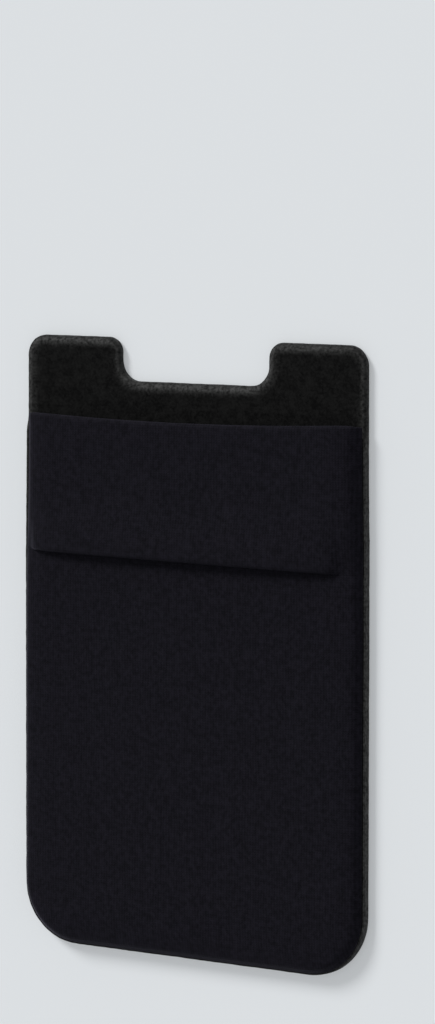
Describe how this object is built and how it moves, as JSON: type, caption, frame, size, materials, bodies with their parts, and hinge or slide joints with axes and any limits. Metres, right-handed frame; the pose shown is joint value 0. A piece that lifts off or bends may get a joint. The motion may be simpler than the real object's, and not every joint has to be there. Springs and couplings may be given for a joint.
{
  "type": "stick-on phone card holder",
  "caption": "Flat stick-on card holder: padded panel with a thumb notch and adhesive back, carrying a stretch-fabric card pocket with its mouth turned down as a wide cuff.",
  "frame": {"origin": "middle of the outline on the outer face of the adhesive, where the holder meets what it is stuck to", "axes": "+Z out of the front of the pocket, away from the adhesive; +Y along the length towards the thumb notch and the pocket's mouth; +X to the right, seen from the front"},
  "size_m": [0.057, 0.0887, 0.0038],
  "materials": {
    "adhesive": "pale tacky acrylic",
    "panel": "black brushed nap on a padded core",
    "stretch_fabric": "fine black stretch knit, soft sheen"
  },
  "bodies": {
    "root": {"adhesive_pad": "adhesive", "back_panel": "panel", "pocket": "stretch_fabric"}
  },
  "joints": []
}
